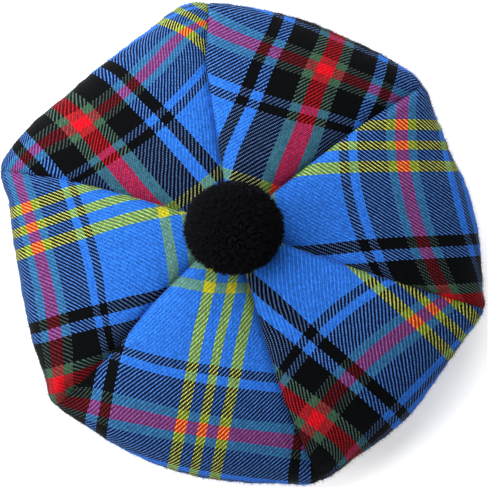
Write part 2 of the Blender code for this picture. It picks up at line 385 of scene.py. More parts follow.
# Strand outlines, one pair a ring: share of the way from root to tip, share of the thickness. Rings
# of a nearly upright strand are set out from another axis.
YARN_PROFILE = ((0.0, 1.0), (0.55, 0.95), (0.92, 0.65))
NAP_PROFILE = ((0.0, 1.0), (0.6, 0.8))
NEARLY_UPRIGHT = 0.9

# -------- shader maths


def maths(operation):
    """Method of a wire that does one sum with it and the numbers given."""
    return lambda wire, *values: wire.node("ShaderNodeMath", wire, *values, operation=operation)


class Wire:
    """A socket of a shader tree that can be added, multiplied and compared like a number."""

    def __init__(self, tree, socket):
        self.tree = tree
        self.socket = socket

    __add__ = __radd__ = maths("ADD")
    __mul__ = __rmul__ = maths("MULTIPLY")
    __sub__ = maths("SUBTRACT")
    __truediv__ = maths("DIVIDE")
    floor = maths("FLOOR")
    fract = maths("FRACT")
    modulo = maths("FLOORED_MODULO")
    pingpong = maths("PINGPONG")
    below = maths("LESS_THAN")
    at_least = maths("MAXIMUM")
    at_most = maths("MINIMUM")
    power = maths("POWER")
    root = maths("SQRT")
    sine = maths("SINE")

    def __rsub__(self, other):
        return self.node("ShaderNodeMath", other, self, operation="SUBTRACT")

    def node(self, kind, *values, output=0, **settings):
        """Adds a node, sets it up, and feeds its inputs in order."""
        made = self.tree.nodes.new(kind)
        for name, value in settings.items():
            setattr(made, name, value)
        for index, value in enumerate(values):
            feed(self.tree, made.inputs[index], value)
        return Wire(self.tree, made.outputs[output])

    def vector(self, operation, other, output=0):
        """This colour combined with another colour, or with a number on all channels."""
        if isinstance(other, (int, float)):
            other = (other, other, other)
        elif isinstance(other, Wire) and other.socket.type == "VALUE":
            other = other.grey()
        return self.node("ShaderNodeVectorMath", self, other, operation=operation, output=output)

    def times(self, other):
        return self.vector("MULTIPLY", other)

    def plus(self, other):
        return self.vector("ADD", other)

    def power_of(self, exponent):
        return self.vector("POWER", exponent)

    def lightness(self):
        """How light this colour looks."""
        return self.vector("DOT_PRODUCT", EYE_WEIGHTS, output=1)

    def green(self):
        """The green part of this colour."""
        return self.vector("DOT_PRODUCT", (0.0, 1.0, 0.0), output=1)

    def grey(self):
        """This number on all three channels."""
        return self.node("ShaderNodeCombineXYZ", self, self, self)

    def choose(self, low, high):
        """Number between low and high, by this factor."""
        return self * high + (1.0 - self) * low

    def about_one(self, spread):
        """Multiplier that varies about 1 by a spread, by this factor."""
        return self * spread + (1.0 - spread / 2.0)

    def mix(self, low, high):
        """Colour between low and high, by this factor."""
        made = self.tree.nodes.new("ShaderNodeMix")
        made.data_type = "RGBA"
        feed(self.tree, made.inputs["Factor"], self)
        for socket, value in zip([s for s in made.inputs if s.type == "RGBA"], (low, high)):
            feed(self.tree, socket, value)
        return Wire(self.tree, [s for s in made.outputs if s.type == "RGBA"][0])

    def bands(self, stops):
        """Colour from a list of (position, colour), and the alpha that goes with it."""
        made = self.tree.nodes.new("ShaderNodeValToRGB")
        made.color_ramp.interpolation = "CONSTANT"
        elements = made.color_ramp.elements
        while len(elements) < len(stops):
            elements.new(1.0)
        for element, (position, color) in zip(elements, stops):
            element.position = position
            element.color = color
        feed(self.tree, made.inputs[0], self)
        return Wire(self.tree, made.outputs[0]), Wire(self.tree, made.outputs[1])


def feed(tree, socket, value):
    """Links a wire, or sets a constant, on an input socket."""
    if isinstance(value, Wire):
        tree.links.new(value.socket, socket)
    elif isinstance(value, tuple) and socket.type == "RGBA":
        socket.default_value = (*value[:3], 1.0)
    else:
        socket.default_value = value


def new_material(name, roughness, specular, sheen=0.0, sheen_roughness=0.5):
    """Material with its constant sockets set: the material, its tree and its shader."""
    material = bpy.data.materials.new(name)
    material.use_nodes = True
    tree = material.node_tree
    shader = tree.nodes["Principled BSDF"]
    shader.inputs["Roughness"].default_value = roughness
    shader.inputs["Sheen Weight"].default_value = sheen
    shader.inputs["Sheen Roughness"].default_value = sheen_roughness
    shader.inputs["Specular IOR Level"].default_value = specular
    return material, tree, shader


def cloth_coordinates(tree):
    """Place in the flat cloth, along and across it, in metres."""
    source = tree.nodes.new("ShaderNodeUVMap")
    source.uv_map = CLOTH_LAYER
    place = Wire(tree, source.outputs[0])
    along = place.node("ShaderNodeSeparateXYZ", place)
    return along, Wire(tree, along.socket.node.outputs[1])


def object_position(tree):
    """Place on the part, in metres."""
    source = tree.nodes.new("ShaderNodeTexCoord")
    return Wire(tree, source.outputs["Object"])


def noise(position, scale, detail=2.0, roughness=0.5):
    """Grey noise from 0 to 1 at a position; scale is in cells to the metre."""
    made = position.tree.nodes.new("ShaderNodeTexNoise")
    made.inputs["Scale"].default_value = scale
    made.inputs["Detail"].default_value = detail
    made.inputs["Roughness"].default_value = roughness
    position.tree.links.new(position.socket, made.inputs["Vector"])
    return Wire(position.tree, made.outputs[0])


def bump(shader, tree, height, distance, strength):
    """Raises the surface of a shader by a distance where height is 1."""
    made = tree.nodes.new("ShaderNodeBump")
    made.inputs["Strength"].default_value = strength
    made.inputs["Distance"].default_value = distance
    tree.links.new(height.socket, made.inputs["Height"])
    tree.links.new(made.outputs["Normal"], shader.inputs["Normal"])


# -------- materials


def thread_color(index, pitch, column):
    """Dye of one thread, and its strength, from where the thread's middle lies in the sett."""
    half = sum(row[column] for row in SETT)
    stops = []
    position = 0.0
    for row in SETT:
        stops.append((position / half, DYES[row[0]]))
        position += row[column]
    return ((index + 0.5) * (pitch / half)).pingpong(1.0).bands(stops)


def float_height(place, own_index, other, middle):
    """Height of a thread that runs over two others and under two: round across and along."""
    across = place.fract() * 2.0 - 1.0
    along = (own_index + other - middle).pingpong(TWILL_REPEAT / 2.0) / FLOAT_REACH
    return (1.0 - across * across * FLOAT_ROUND).root() * (1.0 - along * along).at_least(0.0).root()


def float_shade(own_index, other, middle):
    """Random number from 0 to 1 that is the same all along one float of a thread."""
    number = ((own_index + other - middle + TWILL_REPEAT / 2.0) / TWILL_REPEAT).floor()
    place = own_index.node("ShaderNodeCombineXYZ", own_index, number, 0.0)
    return place.node("ShaderNodeTexWhiteNoise", place, noise_dimensions="2D")


def tartan_material():
    """Two-up, two-down twill in a tartan whose sett is the same in warp and weft."""
    material, tree, shader = new_material(
        "tartan_wool", roughness=0.85, sheen=0.022, sheen_roughness=0.4, specular=0.05
    )
    along, across = cloth_coordinates(tree)
    place = object_position(tree)
    waver = noise(place, WAVER_SCALE, 1.0) - 0.5
    warp = across / WARP_PITCH + waver * FLOAT_WAVER
    weft = along / WEFT_PITCH + waver * FLOAT_WAVER
    warp_index = warp.floor()
    weft_index = weft.floor()
    warp_height = float_height(warp, warp_index, weft, WARP_MIDDLE)
    weft_height = float_height(weft, weft_index, warp, WEFT_MIDDLE)
    warp_up = (weft_height * WEFT_RELIEF).below(warp_height)
    height = warp_up.choose(weft_height, warp_height)

    # Painted bounce light: colour of the threads that a thread crosses is mixed into it, most where it dips
    # under them.
    warp_color, warp_strength = thread_color(warp_index, WARP_PITCH, WARP_WIDTH)
    weft_color, weft_strength = thread_color(weft_index, WEFT_PITCH, WEFT_WIDTH)
    top = warp_up.mix(weft_color, warp_color)
    under = warp_up.mix(warp_color, weft_color)
    share = ((1.0 - height) * warp_up.choose(WEFT_TAKES, WARP_TAKES)).at_most(MOST_TAKEN)
    color = top.power_of(1.0 - share).times(under.power_of(share))
    weft_part = weft_strength * WEFT_SHARE
    weft_part = weft_part / (weft_part + warp_strength * (1.0 - WEFT_SHARE))
    added = warp_color.times(1.0 - weft_part).plus(weft_color.times(weft_part))
    filtered = warp_color.power_of(1.0 - weft_part).times(weft_color.power_of(weft_part))
    both = added.plus(filtered.times(added.lightness() / filtered.lightness())).times(0.5)
    blended = both.plus(color.lightness() - both.lightness())
    color = color.times(1.0 - BLEND_SHARE).plus(blended.times(BLEND_SHARE))
    against_dark = 1.0 - top.lightness().at_most(under.lightness()) * CONTRAST_FADE
    contrast = (top.green() - under.green()) * against_dark * CONTRAST
    color = color.plus(contrast).vector("MAXIMUM", 0.0)

    # Threads differ a little in tone at random; painted shade darkens the gaps between them and the
    # lower-lying weft floats.
    weft_shade = float_shade(weft_index, warp, WEFT_MIDDLE)
    warp_shade = float_shade(warp_index, weft, WARP_MIDDLE)
    shade = warp_up.choose(weft_shade, warp_shade)
    grain = noise(place, GRAIN_SCALE, 1.0)
    fibre = noise(place, FIBRE_SCALE, 3.0, 0.65)
    # Painted shade: darker where threads dip into the gaps and on the weft floats, times random tone.
    painted_shade_and_tone = (GAP_LIGHT + height.power(GAP_SHAPE) * (1.0 - GAP_LIGHT)) * warp_up.choose(WEFT_PAINTED_SHADE, 1.0)
    painted_shade_and_tone = painted_shade_and_tone * shade.about_one(SHADE_SPREAD)
    painted_shade_and_tone = painted_shade_and_tone * fibre.about_one(FIBRE_SPREAD) * grain.about_one(GRAIN_SPREAD)
    feed(tree, shader.inputs["Base Color"], color.power_of(EYE_GAMMA).times(painted_shade_and_tone))
    surface = warp_height.at_least(weft_height * WEFT_RELIEF)
    bump(shader, tree, surface + fibre * FIBRE_BUMP, THREAD_BUMP, strength=0.9)
    return material


def headband_material():
    """Plain black wool in a fine two-up, two-down twill."""
    material, tree, shader = new_material("headband_wool", roughness=0.9, sheen=0.15, specular=0.15)
    along, across = cloth_coordinates(tree)
    warp = along / HEADBAND_THREAD
    weft = across / HEADBAND_THREAD
    warp_up = (warp.floor() + weft.floor()).modulo(TWILL_REPEAT).below(TWILL_REPEAT / 2.0)
    # Painted shade: each thread is lighter on its round top than at its edges, mixed with the fibres' random
    # tone.
    arch = (warp_up.choose(weft.fract(), warp.fract()) * math.pi).sine()
    fibre = noise(object_position(tree), FIBRE_SCALE, 3.0, 0.6)
    light = fibre * HEADBAND_FIBRE + arch * (1.0 - HEADBAND_FIBRE)
    feed(tree, shader.inputs["Base Color"], light.mix(HEADBAND_DARK, HEADBAND_LIGHT))
    bump(shader, tree, arch + fibre * 0.5, HEADBAND_BUMP, strength=0.8)
    return material


def pompom_material(middle):
    """Black wool yarn with painted shade: darker deep between its cut ends than at them."""
    material, tree, shader = new_material(
        "pompom_wool", roughness=0.9, sheen=0.03, sheen_roughness=0.4, specular=0.05
    )
    place = object_position(tree)
    from_middle = place.vector("SUBTRACT", tuple(middle)).vector("DIVIDE", POMPOM_RADII)
    reach = from_middle.vector("LENGTH", 0.0, output=1)
    open_end = ((reach - DEEP_SHARE) / (1.0 - DEEP_SHARE)).at_least(0.0).at_most(1.0)
    fibre = noise(place, YARN_SCALE, 3.0, 0.6)
    lock = noise(place, LOCK_SCALE)
    # Painted shade deep in the ball, times random tone from lock to lock.
    painted_shade_and_tone = (DEEP_LIGHT + open_end * open_end * (1.0 - DEEP_LIGHT)) * lock.about_one(LOCK_SPREAD)
    feed(tree, shader.inputs["Base Color"], fibre.mix(YARN_DARK, YARN_LIGHT).times(painted_shade_and_tone))
    bump(shader, tree, fibre, YARN_BUMP, strength=0.5)
    return material


def floor_material():
    """Pale matt paper with a painted glow that lifts the shadow cast on it."""
    material, tree, shader = new_material("floor_paper", roughness=0.8, specular=0.1)
    grain = noise(object_position(tree), PAPER_SCALE)
    feed(tree, shader.inputs["Base Color"], grain.mix(PAPER_DARK, PAPER_LIGHT))
    # Painted glow: the paper shines by itself and lifts the shadow on it.
    shader.inputs["Emission Color"].default_value = (1.0, 1.0, 1.0, 1.0)
    shader.inputs["Emission Strength"].default_value = PAINTED_FLOOR_GLOW
    return material


# -------- the crown as a surface


def smooth_table(rows, column, x, period=None):
    """Values of a column at x, along a smooth curve that never overshoots its rows."""
    xs = np.array([row[0] for row in rows], float)
    ys = np.array([row[column] for row in rows], float)
    if period:
        x = np.mod(x, period)
        xs = np.concatenate([xs[-2:] - period, xs, xs[:2] + period])
        ys = np.concatenate([ys[-2:], ys, ys[:2]])
    x = np.clip(x, xs[0], xs[-1])
    gaps = np.diff(xs)
    rates = np.diff(ys) / gaps
    left = rates[:-1]
    right = rates[1:]
    rising = left * right > 0.0
    weight_left = 2.0 * gaps[1:] + gaps[:-1]
    weight_right = gaps[1:] + 2.0 * gaps[:-1]
    slopes = np.zeros_like(xs)
    weights = (weight_left + weight_right)[rising]
    steepness = weight_left[rising] / left[rising] + weight_right[rising] / right[rising]
    slopes[1:-1][rising] = weights / steepness
    index = np.clip(np.searchsorted(xs, x) - 1, 0, len(xs) - 2)
    width = gaps[index]
    t = (x - xs[index]) / width
    ends = (1.0 + 2.0 * t) * (1.0 - t) ** 2 * ys[index] + t * t * (3.0 - 2.0 * t) * ys[index + 1]
    return ends + width * (t * (1.0 - t) ** 2 * slopes[index] + t * t * (t - 1.0) * slopes[index + 1])


def smooth_step(low, high, x):
    t = np.clip((x - low) / (high - low), 0.0, 1.0)
    return t * t * (3.0 - 2.0 * t)


def share_out(s):
    """Share of the way out to the rim, 0 to 1 over the top and back to 0 over the underside."""
    return np.sin(s * math.pi / 2.0)


def flat_direction(angle):
    radians = np.radians(angle)
    return np.stack([np.cos(radians), np.sin(radians)], -1)


def unit(vectors):
    return vectors / np.maximum(np.linalg.norm(vectors, axis=-1, keepdims=True), 1e-12)


def seam_angle(seam, s):
    turns, index = divmod(seam, len(SEAMS))
    rows = list(zip(SEAM_STATIONS, SEAMS[index]))
    return smooth_table(rows, 1, np.where(s < 1.0, share_out(s), 1.0)) + 360.0 * turns


def furrow_depth(seam, s, distance, clockwise):
    """Depth of the furrow at a distance from the seam, inside one of its two gores."""
    rows = FURROWS[seam % len(SEAMS)]
    side = 2 if clockwise else 3
    depth = smooth_table(rows, 1, share_out(s))
    spread = smooth_table(rows, side, share_out(s))
    under = smooth_step(1.0, UNDER_FURROW_FULL, s)
    to_band = (2.0 - s) / (2.0 - UNDER_FURROW_FULL)
    depth_under = rows[-1][1] * (1.0 - under) + UNDER_FURROW_DEPTH * under * to_band
    spread_under = rows[-1][side] * (1.0 - under) + UNDER_FURROW_SPREAD * under
    depth = np.where(s > 1.0, depth_under, depth)
    spread = np.where(s > 1.0, spread_under, spread)
    return depth * np.exp(-((distance / spread) ** 2))


def band_point(angle, wall):
    """Point in plan on the headband's oval, a wall's thickness out from its inner face."""
    out = flat_direction(angle)
    x = out[..., 0] / (BAND_INNER_X + wall)
    y = out[..., 1] / (BAND_INNER_Y + wall)
    return np.array(BAND_OFFSET) + out * (1.0 / np.sqrt(x**2 + y**2))[..., None]


def meridian(s, angle):
    """Plain crown line at an angle: its points in plan and their heights."""
    share = share_out(s)
    edge = flat_direction(angle) * smooth_table(RIM, 1, angle, 360.0)[..., None]
    rim_height = smooth_table(RIM, 2, angle, 360.0)
    arch = np.sqrt(np.maximum(0.0, 1.0 - np.clip(share, 0.0, 1.0) ** CROWN_FULLNESS))
    base = RIM_HEIGHT + (rim_height - RIM_HEIGHT) * share**2
    top = base + CROWN_RISE * arch
    under = base - UNDERSIDE_DROP * arch + UNDERSIDE_LIFT * (1.0 - share) ** 2
    inner = band_point(angle, BAND_WALL + BAND_GAP)
    over = (s <= 1.0)[..., None]
    plan = np.where(over, edge * share[..., None], inner + (edge - inner) * share[..., None])
    return plan, np.where(s <= 1.0, top, under)


def outward(s, angle):
    """Direction square to the plain crown, in the upright plane through its line."""
    plan_a, height_a = meridian(np.maximum(s - SLOPE_STEP, 0.0), angle)
    plan_b, height_b = meridian(np.minimum(s + SLOPE_STEP, 2.0), angle)
    edge = flat_direction(angle) * smooth_table(RIM, 1, angle, 360.0)[..., None]
    under = unit(edge - band_point(angle, BAND_WALL + BAND_GAP))
    turn = smooth_step(*RIM_TURN, s)[..., None]
    flat = unit(unit(edge) * (1.0 - turn) + under * turn)
    run = ((plan_b - plan_a) * flat).sum(-1)
    fall = height_b - height_a
    size = np.hypot(run, fall)
    return np.concatenate([flat * (-fall / size)[..., None], (run / size)[..., None]], -1)


def crown_points(gore, s, w, inset=0.0, detail=True):
    """Points of a gore: s from apex to headband, w from seam to seam."""
    share = share_out(s)
    first = seam_angle(gore, s)
    last = seam_angle(gore + 1, s)
    reach = smooth_table(RIM, 1, (first + last) / 2.0, 360.0) * share
    reach = np.where(s > 1.0, reach + (1.0 - share) * (BAND_INNER_X + BAND_WALL), reach)
    reach = np.maximum(reach, TIP_RADIUS)
    trim = np.degrees(inset / reach)
    angle = (first + trim) + (last - first - 2.0 * trim) * (w + 1.0) / 2.0
    plan, height = meridian(s, angle)
    near_tip = ((s < 1.0) & (np.linalg.norm(plan, axis=-1) < TIP_RADIUS))[..., None]
    plan = np.where(near_tip, flat_direction(angle) * TIP_RADIUS, plan)
    from_first = np.radians(angle - first) * reach
    from_last = np.radians(last - angle) * reach
    furrow = furrow_depth(gore, s, from_first, False) + furrow_depth(gore + 1, s, from_last, True)
    swell_top = GORES[gore][1] * smooth_step(0.0, PUFF_START, share)
    swell_top = swell_top * np.maximum(np.cos(s * math.pi / 2.0), 0.0) ** PUFF_SHAPE
    swell_under = UNDERSIDE_PUFF * np.sin(np.clip(s - 1.0, 0.0, 1.0) * math.pi)
    swell = np.where(s <= 1.0, swell_top, swell_under) * (1.0 - np.abs(w) ** PUFF_EDGE)
    lift = swell - furrow
    if detail:
        lift = lift + cloth_detail(gore, s, reach, from_first, from_last)
    points = np.concatenate([plan, height[..., None]], -1)
    return points + outward(s, angle) * lift[..., None]


def cloth_detail(gore, s, reach, from_first, from_last):
    """Small forms of the sewn cloth: tucked edges and puckers along the seams, a ripple on the rim."""
    lift = np.zeros_like(s)
    run = s * SEAM_LENGTH
    fade = smooth_step(*DETAIL_START, s) * (1.0 - smooth_step(*DETAIL_END, s))
    rim_fade = 1.0 - TUCK_RIM_FADE * np.exp(-(((s - 1.0) / TUCK_RIM_WIDTH) ** 2))
    for number, distance in ((gore, from_first), (gore + 1, from_last)):
        seam = number % len(SEAMS)
        lift -= TUCK_DEPTH * fade * rim_fade * np.exp(-((distance / TUCK_WIDTH) ** 2))
        wander = PUCKER_WANDER * np.sin(run * PUCKER_WANDER_RATE + seam)
        wave = np.sin(2.0 * math.pi * run / PUCKER_LENGTH + seam * PUCKER_SHIFT + wander)
        near = np.exp(-((distance / PUCKER_REACH) ** 2))
        lift += PUCKER_HEIGHT * fade * wave * near * (1.0 - np.exp(-((distance / PUCKER_START) ** 2)))
    turn = from_first * 2.0 * math.pi / RIPPLE_LENGTH
    wander = RIPPLE_WANDER * np.sin(turn * RIPPLE_WANDER_RATE + gore)
    beat = np.sin(turn * RIPPLE_BEAT_RATE + gore * RIPPLE_BEAT_SHIFT)
    ripple = np.sin(turn + gore * RIPPLE_SHIFT + wander) * beat
    inside = np.minimum(from_first, from_last)
    ends = inside / (inside + RIPPLE_MARGIN)
    return lift + RIPPLE_HEIGHT * ripple * ends * np.exp(-(((s - 1.0) / RIPPLE_REACH) ** 2))


def cloth_layout(points):
    """Flat position of each grid point in its gore's own cloth, measured along the surface."""
    steps = np.linalg.norm(np.diff(points, axis=0), axis=-1)
    start = np.full((1, points.shape[1]), TIP_RADIUS)
    radius = np.concatenate([start, start + np.cumsum(steps, axis=0)], axis=0)
    across = np.gradient(points, axis=1)
    down = unit(np.gradient(points, axis=0))
    along = (across * down).sum(-1, keepdims=True)
    width = np.linalg.norm(across - along * down, axis=-1)
    turn = width / radius
    turned = np.cumsum((turn[:, 1:] + turn[:, :-1]) / 2.0, axis=1)
    angle = np.concatenate([np.zeros((len(points), 1)), turned], axis=1)
    middle = points.shape[1] // 2
    angle = angle - angle[:, middle : middle + 1]
    return np.stack([radius * np.cos(angle), radius * np.sin(angle)], -1)


def tartan_layout(flat, gore):
    """Position in the tartan, whose red pivots cross at its origin."""
    _, _, turn, out, aside = GORES[gore]
    t = math.radians(turn)
    distance = np.hypot(flat[..., 0], flat[..., 1])
    side = flat[..., 1] / EASE_WIDTH
    drift_out, lean, bow, drift_aside, spread, curve = (
        smooth_table(EASE[gore], column, distance) for column in range(1, 7)
    )
    along = flat[..., 0] * math.cos(t) - flat[..., 1] * math.sin(t) - out
    across = flat[..., 0] * math.sin(t) + flat[..., 1] * math.cos(t) - aside
    along = along + drift_out + lean * side + bow * side**2
    across = across + drift_aside + spread * side + curve * side**2
    return np.stack([along, across], -1)


# -------- meshes


def apex():
    """The apex in plan, from where the headband's solid lies."""
    low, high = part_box("headband")
    middle = (Vector(low) + Vector(high)) / 2.0
    return np.array(Vector((middle.x - BAND_OFFSET.x, middle.y - BAND_OFFSET.y, 0.0)))


def add_to_scene(name, data):
    """Links an object that shows the data."""
    made = bpy.data.objects.new(name, data)
    bpy.context.scene.collection.objects.link(made)
    return made


def add_object(name, mesh, material, nodes):
    """Makes a piece from a bmesh."""
    data = bpy.data.meshes.new(name)
    mesh.to_mesh(data)
    mesh.free()
    return finish_piece(name, data, material, nodes)


def finish_piece(name, data, material, nodes):
    """Links a mesh as a smooth piece that rides on the cap and stands for CAD nodes."""
    for polygon in data.polygons:
        polygon.use_smooth = True
    data.materials.append(material)
    piece = add_to_scene(name, data)
    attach(piece, "root")
    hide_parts(*nodes)
    return piece


def add_wall(piece, thickness, offset):
    """Gives a sheet its thickness: offset 0 is half to each side, -1 all to its back."""
    wall = piece.modifiers.new("cloth", "SOLIDIFY")
    wall.thickness = thickness
    wall.offset = offset


def sheet_mesh(points, layout):
    """Grid mesh through rows of points, with its cloth layout as a UV layer."""
    rows, columns = points.shape[:2]
    mesh = bmesh.new()
    bmesh.ops.create_grid(mesh, x_segments=rows - 1, y_segments=columns - 1, size=1.0)
    mesh.verts.ensure_lookup_table()
    grid_rows = [round((vert.co.x + 1.0) / 2.0 * (rows - 1)) for vert in mesh.verts]
    grid_columns = [round((vert.co.y + 1.0) / 2.0 * (columns - 1)) for vert in mesh.verts]
    uv = mesh.loops.layers.uv.new(CLOTH_LAYER)
    for vert, i, j in zip(mesh.verts, grid_rows, grid_columns):
        vert.co = points[i, j]
    for face in mesh.faces:
        for loop in face.loops:
            k = loop.vert.index
            loop[uv].uv = layout[grid_rows[k], grid_columns[k]]
    return mesh


def make_gore(gore, settings, material):
    """One gore: top, rolled rim and underside in one piece of cloth, with the nap on its rim."""
    name = GORES[gore][0]
    over = np.linspace(0.0, 1.0, settings.rows_over + 1)
    over = over * (1.0 - ROW_CROWDING) + ROW_CROWDING * np.sin(over * math.pi / 2.0)
    under = 1.0 + np.linspace(0.0, 1.0, settings.rows_under + 1)[1:]
    steps = np.linspace(-1.0, 1.0, settings.columns + 1)
    spread = steps * (1.0 - COLUMN_CROWDING) + COLUMN_CROWDING * np.sin(steps * math.pi / 2.0)
    s, w = np.meshgrid(np.concatenate([over, under]), spread, indexing="ij")
    points = crown_points(gore, s, w, EDGE_INSET)
    flat = cloth_layout(points)
    layout = tartan_layout(flat, gore)
    points = points + apex()
    mesh = sheet_mesh(points, layout)
    bmesh.ops.recalc_face_normals(mesh, faces=mesh.faces[:])
    faces_up = sum(face.normal.z for face in mesh.faces if face.calc_center_median().z > TOP_LEVEL)
    if faces_up < 0.0:
        bmesh.ops.reverse_faces(mesh, faces=mesh.faces[:])
    area = sum(face.calc_area() for face in mesh.faces)
    piece = add_object(f"cloth_{name}", mesh, material, [name])
    add_wall(piece, CLOTH_THICKNESS, -1.0)
    add_nap(gore, settings, material, points, layout)
    return piece


def between(grid, row, column):
    """Values between the points of a grid."""
    i = np.minimum(row.astype(int), grid.shape[0] - 2)
    j = np.minimum(column.astype(int), grid.shape[1] - 2)
    a = (row - i)[:, None]
    b = (column - j)[:, None]
    near = grid[i, j] * (1.0 - b) + grid[i, j + 1] * b
    far = grid[i + 1, j] * (1.0 - b) + grid[i + 1, j + 1] * b
    return near * (1.0 - a) + far * a


def add_nap(gore, settings, material, points, layout):
    """Short wool fibres that stand up along the rolled rim of a gore."""
    chance = np.random.default_rng(NAP_SEED + gore)
    count = settings.nap_fibres
    row = settings.rows_over + chance.normal(0.0, NAP_SPREAD, count)
    row = np.clip(row, 0.0, len(points) - 1.0)
    column = chance.uniform(0.0, points.shape[1] - 1.0, count)
    normals = unit(np.cross(np.gradient(points, axis=0), np.gradient(points, axis=1)))
    if normals[settings.rows_over // 2, settings.columns // 2, 2] < 0.0:
        normals = -normals
    roots = between(points, row, column)
    way = unit(between(normals, row, column) + chance.normal(0.0, NAP_SCATTER, (count, 3)))
    tips = roots + way * chance.gamma(NAP_LENGTH_SHAPE, NAP_LENGTH / NAP_LENGTH_SHAPE, (count, 1))
    bend = unit(chance.normal(size=(count, 3))) * chance.uniform(0.0, NAP_BEND, (count, 1))
    strands = (roots, tips, np.full(count, NAP_RADIUS), bend)
    place = between(layout, row, column)
    name = GORES[gore][0]
    add_strands(f"nap_{name}", strands, NAP_SIDES, NAP_PROFILE, material, name, place)


# -------- headband


def make_headband(settings, material):
    """Strip of cloth folded double: the fold is the lower edge, both raw edges go up to the crown."""
    ply = (BAND_WALL - PLY_GAP) / 2.0
    fold = (BAND_WALL - ply) / 2.0
    rise = np.linspace(0.0, 1.0, settings.rows + 1)
    bend = np.linspace(0.0, math.pi, settings.fold_rows + 1)[1:-1]
    low = BAND_WALL / 2.0
    down = [(BAND_WALL - ply / 2.0, BAND_HEIGHT + (low - BAND_HEIGHT) * t) for t in rise]
    turn = [(BAND_WALL / 2.0 + fold * math.cos(a), low - fold * math.sin(a)) for a in bend]
    up = [(ply / 2.0, height) for _, height in reversed(down)]
    section = np.array(down + turn + up)
    girth = np.concatenate([[0.0], np.cumsum(np.linalg.norm(np.diff(section, axis=0), axis=-1))])
    angle = np.linspace(0.0, 360.0, settings.segments + 1)
    plan = band_point(angle[:, None], section[None, :, 0])
    height = np.broadcast_to(section[None, :, 1:], (*plan.shape[:2], 1))
    points = np.concatenate([plan, height], -1) + apex()
    run = np.linalg.norm(np.diff(points[:, 0], axis=0), axis=-1)
    along = np.concatenate([[0.0], np.cumsum(run)])
    layout = np.stack(np.broadcast_arrays(along[:, None], girth[None, :]), -1)
    mesh = sheet_mesh(points, layout)
    bmesh.ops.remove_doubles(mesh, verts=mesh.verts[:], dist=WELD_DISTANCE)
    bmesh.ops.recalc_face_normals(mesh, faces=mesh.faces[:])
    piece = add_object("cloth_headband", mesh, material, ["headband"])
    add_wall(piece, ply, 0.0)
    return piece


# -------- pompom


def crown_height(x, y):
    """Heights of the crown's top over points near the apex."""
    angle = np.degrees(np.arctan2(y, x)) % 360.0
    reach = smooth_table(RIM, 1, angle, 360.0)
    s = np.arcsin(np.minimum(np.hypot(x, y) / reach, 1.0)) * 2.0 / math.pi
    height = np.full(np.shape(x), RIM_HEIGHT + CROWN_RISE)
    for gore in range(len(GORES)):
        first = seam_angle(gore, s)
        last = seam_angle(gore + 1, s)
        turned = (angle - first) % 360.0
        inside = turned <= last - first
        w = np.clip(2.0 * turned / (last - first) - 1.0, -1.0, 1.0)
        height = np.where(inside, crown_points(gore, s, w, detail=False)[..., 2], height)
    return height


def pompom_middle():
    """Middle of the pompom, from the apex: it sits a little into the crown."""
    top = float(crown_height(np.array(POMPOM_OFFSET.x), np.array(POMPOM_OFFSET.y)))
    return np.array([POMPOM_OFFSET.x, POMPOM_OFFSET.y, top + POMPOM_RADII[2] - POMPOM_SINK])


def pompom_surface(ways, share):
    """Points on the pompom's form, shrunk by a share of its radius and resting on the crown."""
    points = pompom_middle() + ways * np.array(POMPOM_RADII) * np.asarray(share)[..., None]
    rest = crown_height(points[..., 0], points[..., 1]) + POMPOM_GAP
    low = (ways[..., 2] < 0.0) & (points[..., 2] < rest)
    points[..., 2] = np.where(low, rest, points[..., 2])
    return points


def spread_ways(count, chance, jitter):
    """Directions spread evenly over a ball, each a little out of place."""
    number = np.arange(count) + 0.5
    height = 1.0 - 2.0 * number / count
    turn = number * math.pi * (3.0 - math.sqrt(5.0))  # the golden angle
    flat = np.sqrt(1.0 - height**2)
    ways = np.stack([np.cos(turn) * flat, np.sin(turn) * flat, height], -1)
    return unit(ways + chance.normal(0.0, jitter, ways.shape))


def random_bend(ways, most, chance):
    """Sideways bend of each strand, up to the most."""
    side = unit(np.cross(ways, chance.normal(size=ways.shape)))
    return side * chance.uniform(0.0, most, (len(ways), 1))


def strand_rings(roots, tips, radius, bend, sides, profile):
    """Rings of points along tapered, bent strands, with a point at each tip."""
    run = tips - roots
    way = unit(run)
    upright = np.abs(way[:, 2:3]) > NEARLY_UPRIGHT
    side = unit(np.cross(way, np.where(upright, [[1.0, 0.0, 0.0]], [[0.0, 0.0, 1.0]])))
    other = np.cross(way, side)
    rings = []
    for station, width in profile:
        middle = roots + run * station + bend * station * station
        for k in range(sides):
            turn = 2.0 * math.pi * k / sides
            rings.append(middle + (side * math.cos(turn) + other * math.sin(turn)) * radius[:, None] * width)
    rings.append(tips + bend)
    return np.stack(rings, 1)


def add_strands(name, strands, sides, profile, material, node, layout=None):
    """Joins many strands into one piece; layout gives each its place in the cloth."""
    rings = strand_rings(*strands, sides, profile)
    per = rings.shape[1]
    last = (len(profile) - 1) * sides
    around = [(k, (k + 1) % sides) for k in range(sides)]
    walls = [(r + a, r + b, r + b + sides, r + a + sides) for r in range(0, last, sides) for a, b in around]
    caps = [(last + a, last + b, per - 1) for a, b in around]
    starts = (np.arange(len(strands[0])) * per)[:, None, None]
    faces = (np.array(walls) + starts).reshape(-1, 4).tolist()
    faces += (np.array(caps) + starts).reshape(-1, 3).tolist()
    data = bpy.data.meshes.new(name)
    data.from_pydata(rings.reshape(-1, 3).tolist(), [], faces)
    if layout is not None:
        numbers = np.empty(len(data.loops), int)
        data.loops.foreach_get("vertex_index", numbers)
        data.uv_layers.new(name=CLOTH_LAYER).data.foreach_set("uv", layout[numbers // per].ravel())
    return finish_piece(name, data, material, [node])


